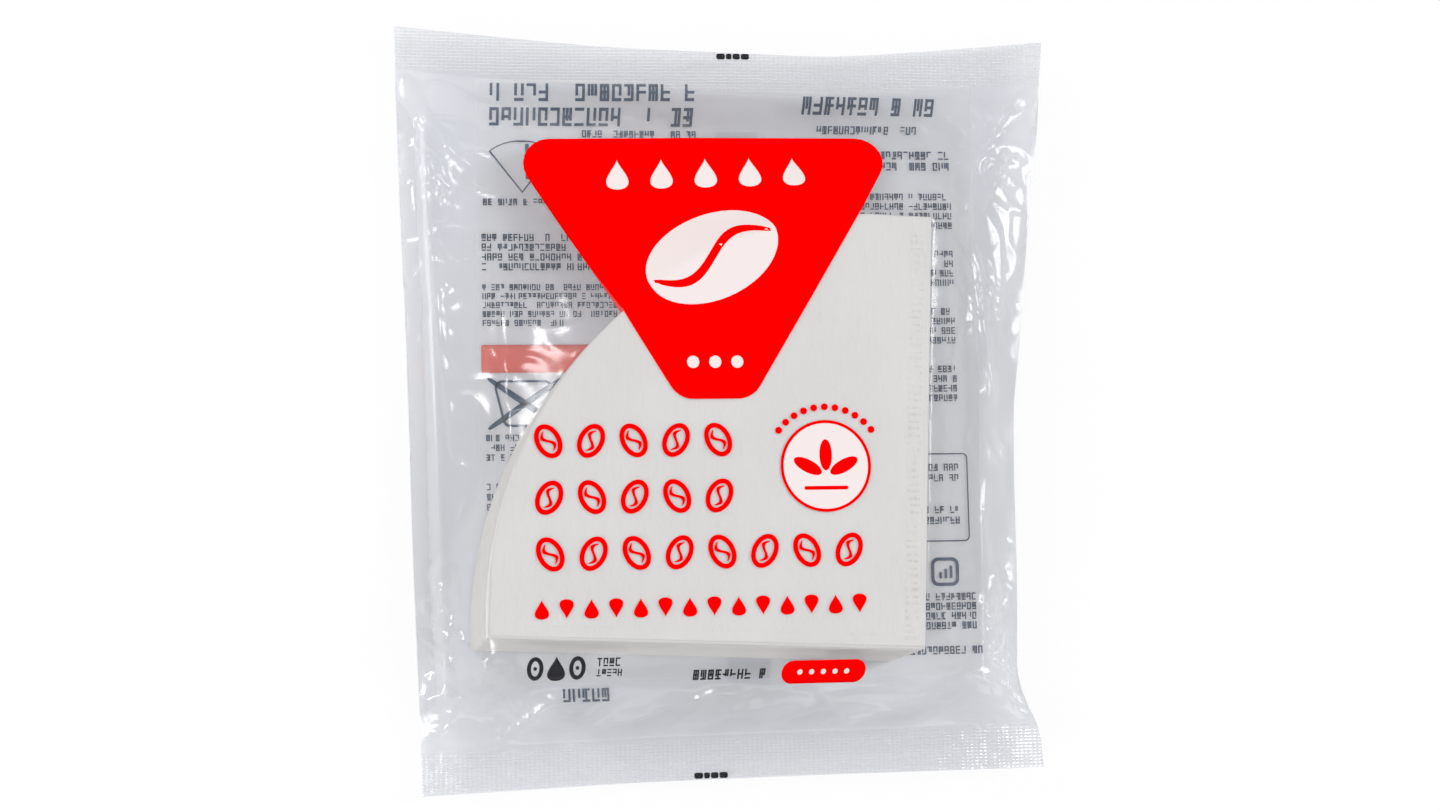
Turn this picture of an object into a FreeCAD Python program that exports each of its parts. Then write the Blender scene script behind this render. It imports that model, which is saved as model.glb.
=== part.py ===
import FreeCAD, Part
import math
import os

# Sealed clear film pack that holds a stack of folded cone coffee filters. Sizes in millimetres.
# X runs across the pack, +Y towards its top seal and +Z up out of its printed front.
# The origin is at the middle of the pack's outline, on the surface that its back lies on.

# One filter: two plies of paper, crimped together along both straight edges, open along the arc
FILTER_RADIUS = 108.8          # radius of the arc
ARC_INSET = 8.9                # the arc's centre lies this far in from both straight edges
PLY = 0.12                     # one ply of paper
POCKET = 0.02                  # gap between the two plies
SIDE_CRIMP = 6.5               # width of the crimped margin along the right edge
BOTTOM_CRIMP = 3.0             # width of the crimped margin along the bottom edge

# The stack
BUNDLE_COUNT = 14              # groups between the front and the back filter
COUNT_PER_BUNDLE = 7
LAYER_GAP = 0.02               # air between two filters
STACK_TURN = -2.7              # degrees that the stack is turned in the bag
LEAN_X = -2.9                  # how far the last filter lies from the first
LEAN_Y = -3.3
WOBBLE_X = 0.35                # uneven jogging of single filters
WOBBLE_Y = 0.3
WOBBLE_TURN = 0.12             # degrees

# The film bag
FILM = 0.1                     # wall
FILM_GAP = 0.1                 # air between the film and the stack
STACK_ROOM = 1.2               # how far the flat front reaches past the stack
LEFT_MARGIN = 22.6             # from the stack to the corners of the top seal
RIGHT_MARGIN = 39.7
BOTTOM_MARGIN = 22.2           # from the stack to the inner edge of the seals
TOP_MARGIN = 42.6
LEFT_WAIST = 4.2               # how far the side folds draw in between the seals
RIGHT_WAIST = 12.5
RIGHT_SLANT = 0.06             # how far the right fold stands out for each length up the pack
BOTTOM_TAPER = 6.2             # how far the bottom seal's corners draw in
SHOULDER = 13.0                # length over which the back rises to each seal
FOLD_HEIGHT = 9.0              # height of the side folds above the back
FOLD_INSET = 1.2               # film pressed together inside each side fold
BACK_ROUND = 4.2               # how far the flat back stays inside the side folds
SAG = 0.12                     # how far the film's slopes hang below a straight line, for their height
SEAL_HEIGHT = 7.0              # height of the end seals
SEAL_BAND = 12.0               # length of each end seal
SEAL_SLIT = 0.04               # height of the bag's inside where it meets a seal
TOP_BOW = (2.3, -2.9, -5.1, 0.6)       # how far each end stands out at its left corner, its left and
BOTTOM_BOW = (2.3, 0.4, -0.3, -0.5)    # right third points and its right corner
FIN_WIDTH = 12.0               # back seam, folded flat against the back
FIN_LEFT = -2.0
FIN_THICK = 0.2

# Print on the front, as fields of colour
INK = 0.05
WEDGE_TOP = 73.0               # top edge of the large red field
WEDGE_FOOT = -1.0
WEDGE_TOP_WIDTH = 110.0
WEDGE_FOOT_WIDTH = 20.0
WEDGE_ROUND = 7.0
WEDGE_X = -8.0                 # middle of the large red field
BEAN_LENGTH = 36.0             # bare oval in the red field
BEAN_WIDTH = 24.0
BEAN_Y = 40.0
ROW_LEFT = -59.0               # left end of the rows of small red ovals
ROW_STROKE = 1.3
OVAL_SHAPE = 0.8               # width of a small oval for its height
ROWS = (                       # height of each row, its ovals, its length, the size of an oval
    (-12.0, 5, 57.0, 9.6),
    (-27.0, 5, 57.0, 9.6),
    (-42.0, 8, 92.0, 9.6),
    (-56.5, 14, 92.0, 4.6),
)
RING_X = 21.5
RING_Y = -19.4
RING_RADIUS = 12.4
BAR_Y = -74.5                  # row of bars below the stack
BAR_HEIGHT = 6.2
BLACK_BAR_X = -46.5
BLACK_BAR_LENGTH = 25.0
SMALL_BAR_X = -5.0
SMALL_BAR_LENGTH = 20.0
PILL_X = 20.5
PILL_LENGTH = 23.0
PILL_ROUND = 0.49              # corner radius of the pill for its height
TOP_MARK_X = 2.2               # cutting marks on the end seals
BOTTOM_MARK_X = -8.3
EYE_MARK_LENGTH = 9.5
EYE_MARK_HEIGHT = 1.6
EYE_MARK_EDGE = 1.0            # from the mark's middle to the cut end

# Print on the back, as one pale field on each side of the seam
PANEL_LEFT = -70.0
PANEL_WIDTH = 140.0
PANEL_INSET = 1.5              # from the panel to where the back rises to a seal

FILTERS = COUNT_PER_BUNDLE * BUNDLE_COUNT + 2
FILTER_THICK = 2 * PLY + POCKET
PITCH = FILTER_THICK + LAYER_GAP
STACK_THICK = FILTERS * PITCH - LAYER_GAP

BACK_Z = FIN_THICK
STACK_Z = BACK_Z + FILM + FILM_GAP
FRONT_Z = STACK_Z + STACK_THICK + FILM_GAP + FILM

SIDE = ARC_INSET + math.sqrt(FILTER_RADIUS ** 2 - ARC_INSET ** 2)
TURN = math.radians(STACK_TURN)


def turned(x, y):
    """A point of the filter's own outline, turned as the stack is."""
    return (x * math.cos(TURN) - y * math.sin(TURN), x * math.sin(TURN) + y * math.cos(TURN))


# The front filter's corner sits where the margins leave it, with the pack's outline about the origin
LEFT_END = turned(-SIDE, 0)
TOP_END = turned(0, SIDE)
TOP_WIDTH = LEFT_MARGIN + (TOP_END[0] - LEFT_END[0]) + RIGHT_MARGIN
INNER_LENGTH = BOTTOM_MARGIN + TOP_END[1] + TOP_MARGIN
HALF_WIDTH = TOP_WIDTH / 2
SEAL_Y = INNER_LENGTH / 2
END_Y = SEAL_Y + SEAL_BAND
CORNER_X = -HALF_WIDTH + LEFT_MARGIN - LEFT_END[0]
CORNER_Y = -SEAL_Y + BOTTOM_MARGIN

ARC_X = CORNER_X + turned(-ARC_INSET, ARC_INSET)[0]
ARC_Y = CORNER_Y + turned(-ARC_INSET, ARC_INSET)[1]


def polygon(points):
    """Closed wire through the points."""
    return Part.makePolygon(points + points[:1])


def faceted(rings):
    """Solid with flat three-cornered faces between one ring of points and the next."""
    faces = []
    for end in (rings[0], rings[-1]):
        faces += [Part.Face(polygon([end[corner] for corner in corners])) for corners in END_FACES]
    for low, high in zip(rings, rings[1:]):
        for near in range(len(low)):
            far = (near + 1) % len(low)
            faces.append(Part.Face(polygon([low[near], low[far], high[far]])))
            faces.append(Part.Face(polygon([low[near], high[far], high[near]])))
    shell = Part.makeShell(faces)
    shell.sewShape()
    solid = Part.makeSolid(shell)
    if solid.Volume < 0:
        solid.reverse()
    return solid


def filter_solid():
    """One folded filter, with its corner at the origin and its back on z = 0."""
    corner = FreeCAD.Vector(0, 0, 0)
    top = FreeCAD.Vector(0, SIDE, 0)
    left = FreeCAD.Vector(-SIDE, 0, 0)
    slant = FILTER_RADIUS / math.sqrt(2)
    crown = FreeCAD.Vector(-ARC_INSET - slant, ARC_INSET + slant, 0)
    rim = Part.Arc(top, crown, left).toShape()
    outline = Part.Wire([Part.makeLine(corner, top), rim, Part.makeLine(left, corner)])
    blank = Part.Face(outline).extrude(FreeCAD.Vector(0, 0, FILTER_THICK))
    reach = 2 * SIDE
    pocket = Part.makeBox(reach, reach, POCKET, FreeCAD.Vector(-SIDE_CRIMP - reach, BOTTOM_CRIMP, PLY))
    return blank.cut(pocket)


def stacked(solid, number):
    """The filter of this number, counted from the front, in its place in the stack."""
    depth = (number - 1) / (FILTERS - 1)
    sheet = solid.copy()
    turn = STACK_TURN + WOBBLE_TURN * math.sin(3.1 * number)
    sheet.rotate(FreeCAD.Vector(0, 0, 0), FreeCAD.Vector(0, 0, 1), turn)
    x = CORNER_X + LEAN_X * depth + WOBBLE_X * math.sin(2.4 * number)
    y = CORNER_Y + LEAN_Y * depth + WOBBLE_Y * math.sin(1.7 * number)
    sheet.translate(FreeCAD.Vector(x, y, STACK_Z + (FILTERS - number) * PITCH))
    return sheet


# Corners of the flat faces that close a ring's end: its front corners are 0 to 5 and its back ones 6 to 9
END_FACES = ((0, 1, 9), (1, 8, 9), (1, 2, 8), (2, 3, 8), (3, 7, 8), (3, 4, 7), (4, 6, 7), (4, 5, 6))


def bowed(bow, x, half):
    """How far an end stands out at this place across, along straight lines between its four points."""
    third = half / 3
    places = (-half, -third, third, half)
    for near in range(3):
        if x <= places[near + 1] or near == 2:
            share = (x - places[near]) / (places[near + 1] - places[near])
            return bow[near] + share * (bow[near + 1] - bow[near])


def ring(station, front_lift=0.0, wall=0.0, inset=0.0):
    """Corners of a section of the bag, as large as the film's outside less a wall."""
    left, front_left, front_right, right = station["x"]
    low = station["back"] + wall
    high = station["front"] + front_lift - wall
    fold = station["fold"]
    slack = fold + (high - fold) * (0.5 - SAG)
    side = BACK_ROUND + wall
    corners = (
        (left + inset, fold),
        ((left + inset + front_left) / 2, slack),
        (front_left, high),
        (front_right, high),
        ((right - inset + front_right) / 2, slack),
        (right - inset, fold),
        (right - side, low),
        (station["half"] / 3, low),
        (-station["half"] / 3, low),
        (left + side, low),
    )
    return [FreeCAD.Vector(x, station["y"] + station["end"] * bowed(station["bow"], x, station["half"]), z)
            for x, z in corners]


def seal_station(y, end, half, bow):
    """Section through an end seal, where front and back film are welded together."""
    return {"y": y, "end": end, "half": half, "bow": bow, "x": (-half, -half / 3, half / 3, half),
            "front": SEAL_HEIGHT + FILM + SEAL_SLIT / 2, "back": SEAL_HEIGHT - FILM - SEAL_SLIT / 2,
            "fold": SEAL_HEIGHT}


def body_station(y, front_left, front_right, front):
    """Section through the bag between its seals, lying flat on its back."""
    left = -HALF_WIDTH + LEFT_WAIST
    right = HALF_WIDTH - RIGHT_WAIST + RIGHT_SLANT * y
    return {"y": y, "end": 0, "half": HALF_WIDTH, "bow": TOP_BOW,
            "x": (left, front_left, front_right, right),
            "front": front, "back": BACK_Z, "fold": FOLD_HEIGHT}


def stack_right(y):
    """Right edge of the flat front at this height."""
    share = (y - CORNER_Y) / TOP_END[1]
    return CORNER_X + STACK_ROOM + TOP_END[0] * share


def stations():
    """Sections of the bag from its bottom end to its top end."""
    bottom_half = HALF_WIDTH - BOTTOM_TAPER
    edge = CORNER_Y - STACK_ROOM
    far = ARC_Y + FILTER_RADIUS + STACK_ROOM
    foot = -SEAL_Y + SHOULDER
    head = SEAL_Y - SHOULDER
    drop = FRONT_Z - SEAL_HEIGHT
    foot_front = SEAL_HEIGHT + drop * (1 - SAG) * SHOULDER / (edge + SEAL_Y)
    head_front = SEAL_HEIGHT + drop * (1 - SAG) * SHOULDER / (SEAL_Y - far)
    step = 15.0
    outer = (FILTER_RADIUS + STACK_ROOM) / math.cos(math.radians(step / 2))
    left = ARC_X - outer
    found = [seal_station(-y, -1, bottom_half, BOTTOM_BOW) for y in (END_Y, SEAL_Y)]
    found.append(body_station(foot, left, stack_right(edge), foot_front))
    found.append(body_station(edge, left, stack_right(edge), FRONT_Z))
    for turn in range(7):
        angle = math.radians(step * turn)
        y = ARC_Y + (FILTER_RADIUS + STACK_ROOM) * math.sin(angle)
        found.append(body_station(y, ARC_X - outer * math.cos(angle), stack_right(y) + STACK_ROOM, FRONT_Z))
    found.append(body_station(head, -HALF_WIDTH / 3, HALF_WIDTH / 2, head_front))
    found += [seal_station(y, 1, HALF_WIDTH, TOP_BOW) for y in (SEAL_Y, END_Y)]
    return found


def bag_outside(front_lift=0.0):
    """The bag's outer form as a filled solid, its front raised by the lift."""
    return faceted([ring(station, front_lift) for station in stations()])


def bag_solid():
    """The film: outer form less the inside, with the seam folded flat on the back."""
    rings = [ring(station, 0.0, FILM, FOLD_INSET) for station in stations()[1:-1]]
    inside = faceted(rings)
    flat = SEAL_Y - SHOULDER
    seam = Part.makeBox(FIN_WIDTH, 2 * flat, FIN_THICK, FreeCAD.Vector(FIN_LEFT, -flat, 0))
    return bag_outside().fuse(seam).removeSplitter().cut(inside)


def rounded(x0, y0, x1, y1, radius):
    """Upright prism with rounded corners, tall enough to pass through the front film."""
    box = Part.makeBox(x1 - x0, y1 - y0, FRONT_Z, FreeCAD.Vector(x0, y0, SEAL_HEIGHT))
    upright = [edge for edge in box.Edges if abs(edge.Vertexes[0].Z - edge.Vertexes[1].Z) > 1]
    return box.makeFillet(radius, upright)


def oval(x, y, width, height, side_count=14):
    """Upright many-sided prism about a point, nearly an oval."""
    points = []
    for side in range(side_count):
        angle = 2 * math.pi * side / side_count
        across = x + width / 2 * math.cos(angle)
        along = y + height / 2 * math.sin(angle)
        points.append(FreeCAD.Vector(across, along, SEAL_HEIGHT))
    return Part.Face(polygon(points)).extrude(FreeCAD.Vector(0, 0, FRONT_Z))


def wedge():
    """Large red field, wide at the top, with a bare oval in it."""
    top = WEDGE_TOP_WIDTH / 2
    foot = WEDGE_FOOT_WIDTH / 2
    points = [(WEDGE_X - top, WEDGE_TOP), (WEDGE_X - foot, WEDGE_FOOT),
              (WEDGE_X + foot, WEDGE_FOOT), (WEDGE_X + top, WEDGE_TOP)]
    face = Part.Face(polygon([FreeCAD.Vector(x, y, SEAL_HEIGHT) for x, y in points]))
    solid = face.extrude(FreeCAD.Vector(0, 0, FRONT_Z))
    upright = [edge for edge in solid.Edges if abs(edge.Vertexes[0].Z - edge.Vertexes[1].Z) > 1]
    return solid.makeFillet(WEDGE_ROUND, upright).cut(oval(WEDGE_X, BEAN_Y, BEAN_LENGTH, BEAN_WIDTH, 32))


def red_shapes():
    """Red fields of the front print, as upright prisms."""
    shapes = [wedge()]
    for y, count, length, size in ROWS:
        pitch = length / count
        for place in range(count):
            x = ROW_LEFT + (place + 0.5) * pitch
            width = OVAL_SHAPE * size
            hole = oval(x, y, width - 2 * ROW_STROKE, size - 2 * ROW_STROKE)
            shapes.append(oval(x, y, width, size).cut(hole))
    inner = 2 * (RING_RADIUS - ROW_STROKE)
    hole = oval(RING_X, RING_Y, inner, inner, 32)
    shapes.append(oval(RING_X, RING_Y, 2 * RING_RADIUS, 2 * RING_RADIUS, 32).cut(hole))
    shapes.append(bar(PILL_X, PILL_LENGTH, PILL_ROUND * BAR_HEIGHT))
    return shapes


def bar(x, length, radius):
    """Bar of the row below the stack."""
    return rounded(x - length / 2, BAR_Y - BAR_HEIGHT / 2, x + length / 2, BAR_Y + BAR_HEIGHT / 2, radius)


def black_shapes():
    """Black bars of the front print and the cutting marks on the seals."""
    shapes = [bar(BLACK_BAR_X, BLACK_BAR_LENGTH, ROW_STROKE), bar(SMALL_BAR_X, SMALL_BAR_LENGTH, ROW_STROKE)]
    for x, end, bow in ((BOTTOM_MARK_X, -1, BOTTOM_BOW), (TOP_MARK_X, 1, TOP_BOW)):
        y = end * (END_Y + bowed(bow, x, HALF_WIDTH) - EYE_MARK_EDGE)
        corner = FreeCAD.Vector(x - EYE_MARK_LENGTH / 2, y - EYE_MARK_HEIGHT / 2, SEAL_HEIGHT)
        shapes.append(Part.makeBox(EYE_MARK_LENGTH, EYE_MARK_HEIGHT, FRONT_Z, corner))
    return shapes


def front_print(shapes):
    """The prisms' share of a skin of ink on the front film."""
    under = bag_outside()
    over = bag_outside(INK)
    solids = []
    for shape in shapes:
        solids += shape.common(over).cut(under).Solids
    return Part.Compound(solids)


def back_print():
    """Pale printed field on the back, on each side of the seam."""
    half = SEAL_Y - SHOULDER - PANEL_INSET
    seam_right = FIN_LEFT + FIN_WIDTH
    fields = ((PANEL_LEFT, FIN_LEFT), (seam_right, PANEL_LEFT + PANEL_WIDTH))
    return Part.Compound([
        Part.makeBox(right - left, 2 * half, INK, FreeCAD.Vector(left, -half, BACK_Z - INK))
        for left, right in fields
    ])


def main():
    """Write one STEP file for each node."""
    os.makedirs("parts", exist_ok=True)
    nodes = {"clear_bag": bag_solid()}
    one = filter_solid()
    nodes["front_filter"] = stacked(one, 1)
    for bundle in range(BUNDLE_COUNT):
        first = 2 + bundle * COUNT_PER_BUNDLE
        last = first + COUNT_PER_BUNDLE - 1
        sheets = [stacked(one, number) for number in range(first, last + 1)]
        nodes["filters_%03d_to_%03d" % (first, last)] = Part.Compound(sheets)
    nodes["back_filter"] = stacked(one, FILTERS)
    nodes["red_print"] = front_print(red_shapes())
    nodes["black_print"] = front_print(black_shapes())
    nodes["back_panel_print"] = back_print()
    for name, shape in nodes.items():
        shape.exportStep("parts/%s.step" % name)
        print(name, len(shape.Solids), "solids", round(shape.Volume, 2), "mm3", shape.isValid())


main()
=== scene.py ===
import math

import bpy
import numpy as np
from mathutils import Matrix, Vector
from mathutils.geometry import delaunay_2d_cdt


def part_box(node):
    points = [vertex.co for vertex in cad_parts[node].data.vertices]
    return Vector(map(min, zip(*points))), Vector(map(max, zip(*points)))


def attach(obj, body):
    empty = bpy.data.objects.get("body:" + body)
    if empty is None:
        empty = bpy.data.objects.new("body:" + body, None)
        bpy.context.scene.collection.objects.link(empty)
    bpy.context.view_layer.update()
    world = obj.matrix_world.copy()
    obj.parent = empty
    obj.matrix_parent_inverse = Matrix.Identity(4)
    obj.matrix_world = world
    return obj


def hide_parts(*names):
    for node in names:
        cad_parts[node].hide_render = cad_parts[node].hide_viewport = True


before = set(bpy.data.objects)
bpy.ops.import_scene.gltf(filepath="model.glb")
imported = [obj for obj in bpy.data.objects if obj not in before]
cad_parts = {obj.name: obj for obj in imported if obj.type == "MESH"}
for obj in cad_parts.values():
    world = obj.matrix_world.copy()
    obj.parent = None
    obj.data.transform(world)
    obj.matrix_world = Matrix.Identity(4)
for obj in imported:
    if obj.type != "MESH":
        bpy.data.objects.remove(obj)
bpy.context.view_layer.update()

# A sealed clear film pack of folded cone coffee filters, lying on its back.
# All lengths are metres. The pack's own sizes come from the frame's boxes.

bl_info = {
    "name": "Filter pack",
    "version": (1, 0, 0),
    "blender": (4, 5, 0),
    "location": "3D View > Sidebar > Filter pack",
    "description": "Builds a clear film pack of cone coffee filters around its packed model",
    "category": "Add Mesh",
}

MM = 0.001
BAG_HIGH = np.array(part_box("clear_bag")[1])
SHEET_LOW, SHEET_HIGH = (np.array(corner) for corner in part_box("front_filter"))
LAST_LOW = np.array(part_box("back_filter")[0])
BUNDLES = sorted(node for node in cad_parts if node.startswith("filters_"))


# Sizes and colours

class PackSizes(bpy.types.PropertyGroup):
    """Sizes of the film, the paper and the print."""
    seal_band: bpy.props.FloatProperty(
        name="Seal band", description="Length of each welded end", default=12 * MM, unit="LENGTH")
    seal_height: bpy.props.FloatProperty(
        name="Seal height", description="Height of the welded ends above the table",
        default=7 * MM, unit="LENGTH")
    fold_height: bpy.props.FloatProperty(
        name="Fold height", description="Height of the side folds above the table",
        default=9 * MM, unit="LENGTH")
    top_half: bpy.props.FloatProperty(
        name="Top seal half width", description="From the middle to a corner of the top seal",
        default=float(BAG_HIGH[0]), unit="LENGTH")
    bottom_taper: bpy.props.FloatProperty(
        name="Bottom taper", description="How far the bottom seal's corners draw in",
        default=6.2 * MM, unit="LENGTH")
    end_length: bpy.props.FloatProperty(
        name="End", description="From the middle of the pack to the line that the bows start from",
        default=103 * MM, unit="LENGTH")
    top_bow: bpy.props.FloatVectorProperty(
        name="Top bow",
        description="How far the top end stands out at its left corner, third points and right corner",
        size=4, default=(2.3 * MM, -2.9 * MM, -5.1 * MM, 0.6 * MM), unit="LENGTH")
    bottom_bow: bpy.props.FloatVectorProperty(
        name="Bottom bow", description="The same for the bottom end",
        size=4, default=(2.3 * MM, 0.4 * MM, -0.3 * MM, -0.5 * MM), unit="LENGTH")
    sag: bpy.props.FloatProperty(
        name="Sag", description="How far the film's slopes hang below a straight line, for their height",
        default=0.12)
    film_gap: bpy.props.FloatProperty(
        name="Film gap", description="Air between the stack and the film", default=0.15 * MM, unit="LENGTH")
    sheet_radius: bpy.props.FloatProperty(
        name="Filter radius", description="Radius of the filter's arc", default=108.8 * MM, unit="LENGTH")
    arc_inset: bpy.props.FloatProperty(
        name="Arc inset", description="From the straight edges to the arc's centre",
        default=8.9 * MM, unit="LENGTH")
    stack_turn: bpy.props.FloatProperty(
        name="Stack turn", description="Turn of the stack in the bag",
        default=math.radians(-2.7), subtype="ANGLE")
    ladder_pitch: bpy.props.FloatProperty(
        name="Crimp pitch", description="Distance between two rungs of the side crimp",
        default=1.9 * MM, unit="LENGTH")
    ink_lift: bpy.props.FloatProperty(
        name="Ink lift", description="How far the ink lies off the film", default=0.22 * MM, unit="LENGTH")


class PackColours(bpy.types.PropertyGroup):
    """Colours of the pack, as sRGB hex values."""
    paper: bpy.props.StringProperty(name="Paper", description="Bleached filter paper", default="E5E2DE")
    film: bpy.props.StringProperty(name="Film", description="Tint of one layer of film", default="FAFBFD")
    haze: bpy.props.StringProperty(name="Haze", description="Light that the film scatters", default="EAEAEC")
    red_ink: bpy.props.StringProperty(name="Red ink", description="Red print", default="FF0000")
    black_ink: bpy.props.StringProperty(name="Black ink", description="Black print", default="1A1A1E")
    slate_ink: bpy.props.StringProperty(
        name="Slate ink", description="Dark print on the back", default="2C4460")
    salmon_ink: bpy.props.StringProperty(
        name="Salmon ink", description="Red print on the back", default="E8685A")
    white_ink: bpy.props.StringProperty(
        name="White ink", description="Pale panel on the back", default="FFFAF8")
    bright_white: bpy.props.StringProperty(
        name="Bright white", description="White ink under the bare shapes", default="EADFDE")
    floor: bpy.props.StringProperty(name="Floor", description="Studio floor", default="F4F4F4")


def sizes():
    """The sizes in use."""
    return bpy.context.scene.pack_sizes


def colour(name):
    """Linear colour with alpha of one of the pack's sRGB hex values."""
    text = getattr(bpy.context.scene.pack_colours, name)
    levels = [int(text[at:at + 2], 16) / 255 for at in (0, 2, 4)]
    linear = [level / 12.92 if level <= 0.04045 else ((level + 0.055) / 1.055) ** 2.4 for level in levels]
    return (*linear, 1.0)


# Materials

# Painted shade: the paper's tone follows the crepe's height, so the wrinkles' hollows are drawn darker; the
# clouds are the paper's own uneven tone.
CREPE_SHADE_SHARE = 1.7              # weight of the wrinkles in the paper's tone, beside 1 for its clouds
# Painted shade: the crimps' pressed recesses are drawn darker, together with the paper's own greyer tone
# where the plies are pressed.
PRESS_SHADE = 0.5              # how much darker the pressed crimps are on that scale
PAPER_TONES = ((0.4, 0.8), (1.0, 1.03))    # places on that scale, and the share of the colour there
WAVE_LENGTH = 0.314            # a wave texture of scale 1 repeats after this many metres
WELD_ROW_PITCH = 0.9 * MM
WELD_LINE_PITCH = 1.3 * MM
WELD_LINE_SHARE = 0.35         # height of the lines along the pack, beside 1 for the rows across it
WELD_HAZE = 0.10               # scattering that the welded mesh adds
MIRROR_SHARE = 0.4             # weight of the mirroring at flat angles


def new_material(name):
    """Empty node material with its output node."""
    material = bpy.data.materials.new(name)
    material.use_nodes = True
    material.node_tree.nodes.clear()
    output = material.node_tree.nodes.new("ShaderNodeOutputMaterial")
    return material, output


def add(material, kind, values=(), **settings):
    """Add a node. Values go to its sockets in order, and settings to the sockets or fields of their names.

    A number or a colour sets the socket, and another node's output is linked to it.
    """
    node = material.node_tree.nodes.new(kind)
    pairs = list(zip(node.inputs, values))
    for key, value in settings.items():
        label = key.replace("_", " ")
        sockets = [socket for socket in node.inputs if socket.name.lower() == label]
        if sockets:
            pairs.append((sockets[0], value))
        else:
            setattr(node, key, value)
    for socket, value in pairs:
        if isinstance(value, bpy.types.NodeSocket):
            material.node_tree.links.new(value, socket)
        else:
            socket.default_value = value
    return node


def finish_material(material, output, shader):
    """Join the last shader to the output."""
    material.node_tree.links.new(shader.outputs[0], output.inputs["Surface"])
    return material


def filter_paper(name, grain_turn, relief):
    """Bleached abaca and wood pulp paper, wet creped: matt, with fine upright wrinkles and pale fibres.

    The paper is drawn darker in the crepe's hollows, a painted shade in the wrinkles, over slow clouds of its
    own uneven tone. A mesh attribute is 1 in the crimps' pressed recesses, which are drawn darker still:
    partly painted shade, partly the paper's own greyer tone where the plies are pressed together.
    """
    material, output = new_material(name)
    place = add(material, "ShaderNodeTexCoord").outputs["Object"]
    turned = add(material, "ShaderNodeMapping", vector=place, rotation=(0, 0, -grain_turn),
                 scale=(1 / (0.9 * MM), 1 / (7 * MM), 1 / (3 * MM)))
    crepe = add(material, "ShaderNodeTexNoise", vector=turned.outputs["Vector"],
                scale=1.0, detail=4.0, roughness=0.6).outputs["Fac"]
    mottle = add(material, "ShaderNodeTexNoise", vector=place, scale=1 / (14 * MM), detail=3.0)
    press_and_shade = add(material, "ShaderNodeAttribute", attribute_name="press_and_shade")
    # The tone rises with the crepe's height: painted shade in the wrinkles' hollows, over the clouds of the
    # paper's own uneven tone.
    grain = add(material, "ShaderNodeMath", (crepe, CREPE_SHADE_SHARE, mottle.outputs["Fac"]),
                operation="MULTIPLY_ADD")
    # Painted shade in the crimps' pressed recesses, together with the paper's own greyer tone there.
    tone_and_shade = add(material, "ShaderNodeMath", (press_and_shade.outputs["Fac"], -PRESS_SHADE, grain.outputs["Value"]),
               operation="MULTIPLY_ADD")
    shade = add(material, "ShaderNodeValToRGB", fac=tone_and_shade.outputs["Value"])
    base = colour("paper")[:3]
    for element, (position, level) in zip(shade.color_ramp.elements, PAPER_TONES):
        element.position = position
        element.color = (*[min(part * level, 1) for part in base], 1)
    bump = add(material, "ShaderNodeBump", height=crepe, strength=0.9, distance=relief)
    shader = add(material, "ShaderNodeBsdfPrincipled", base_color=shade.outputs["Color"],
                 normal=bump.outputs["Normal"], roughness=0.92, specular_ior_level=0.2)
    return finish_material(material, output, shader)


def clear_film():
    """Biaxially oriented polypropylene film, cast smooth: clear with a cold haze, more in the welded ends.

    The mesh attribute haze says how much light the film scatters, crinkle how rough its loose parts are,
    and weld is 1 in the welded ends, where the jaws leave a mesh of fine lines, drawn a little coarser
    than real. The rest passes through or, at a flat angle, is mirrored. The scattering layer has a high
    IOR, because it covers only a small share of the surface and its highlights would be lost otherwise.
    """
    material, output = new_material("clear_polypropylene_film")
    place = add(material, "ShaderNodeTexCoord").outputs["Object"]
    haze, crinkle, weld = (add(material, "ShaderNodeAttribute", attribute_name=name).outputs["Fac"]
                           for name in ("haze", "crinkle", "weld"))
    rows, lines = (add(material, "ShaderNodeTexWave", vector=place, bands_direction=axis,
                       scale=WAVE_LENGTH / pitch, distortion=0.0).outputs["Fac"]
                   for axis, pitch in (("Y", WELD_ROW_PITCH), ("X", WELD_LINE_PITCH)))
    mesh = add(material, "ShaderNodeMath", (lines, WELD_LINE_SHARE, rows), operation="MULTIPLY_ADD")
    pressed = add(material, "ShaderNodeMath", (mesh.outputs["Value"], weld),
                  operation="MULTIPLY").outputs["Value"]
    ripple = add(material, "ShaderNodeTexNoise", vector=place, scale=1 / (8 * MM), detail=2.5)
    soft = add(material, "ShaderNodeBump", height=ripple.outputs["Fac"], strength=crinkle, distance=0.8 * MM)
    bump = add(material, "ShaderNodeBump", height=pressed, normal=soft.outputs["Normal"],
               strength=0.8, distance=0.06 * MM).outputs["Normal"]
    through = add(material, "ShaderNodeBsdfTransparent", color=colour("film"))
    gloss = add(material, "ShaderNodeBsdfPrincipled", normal=bump, base_color=colour("haze"),
                roughness=0.17, ior=3.2, specular_ior_level=0.7)
    angle = add(material, "ShaderNodeFresnel", normal=bump, ior=1.35)
    cloud = add(material, "ShaderNodeMath", (pressed, WELD_HAZE, haze), operation="MULTIPLY_ADD")
    share = add(material, "ShaderNodeMath", (angle.outputs["Fac"], MIRROR_SHARE, cloud.outputs["Value"]),
                operation="MULTIPLY_ADD", use_clamp=True)
    mix = add(material, "ShaderNodeMixShader", (share.outputs["Value"], through.outputs[0], gloss.outputs[0]))
    return finish_material(material, output, mix)


def ink(name, key, roughness=0.35, gloss=0.25):
    """Gravure ink on film: an even colour with a little of the film's gloss."""
    material, output = new_material(name)
    place = add(material, "ShaderNodeTexCoord")
    grain = add(material, "ShaderNodeTexNoise", vector=place.outputs["Object"], scale=1 / (0.4 * MM))
    bump = add(material, "ShaderNodeBump", height=grain.outputs["Fac"], strength=0.1, distance=0.02 * MM)
    shader = add(material, "ShaderNodeBsdfPrincipled", normal=bump.outputs["Normal"],
                 base_color=colour(key), roughness=roughness, specular_ior_level=gloss)
    return finish_material(material, output, shader)


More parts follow.
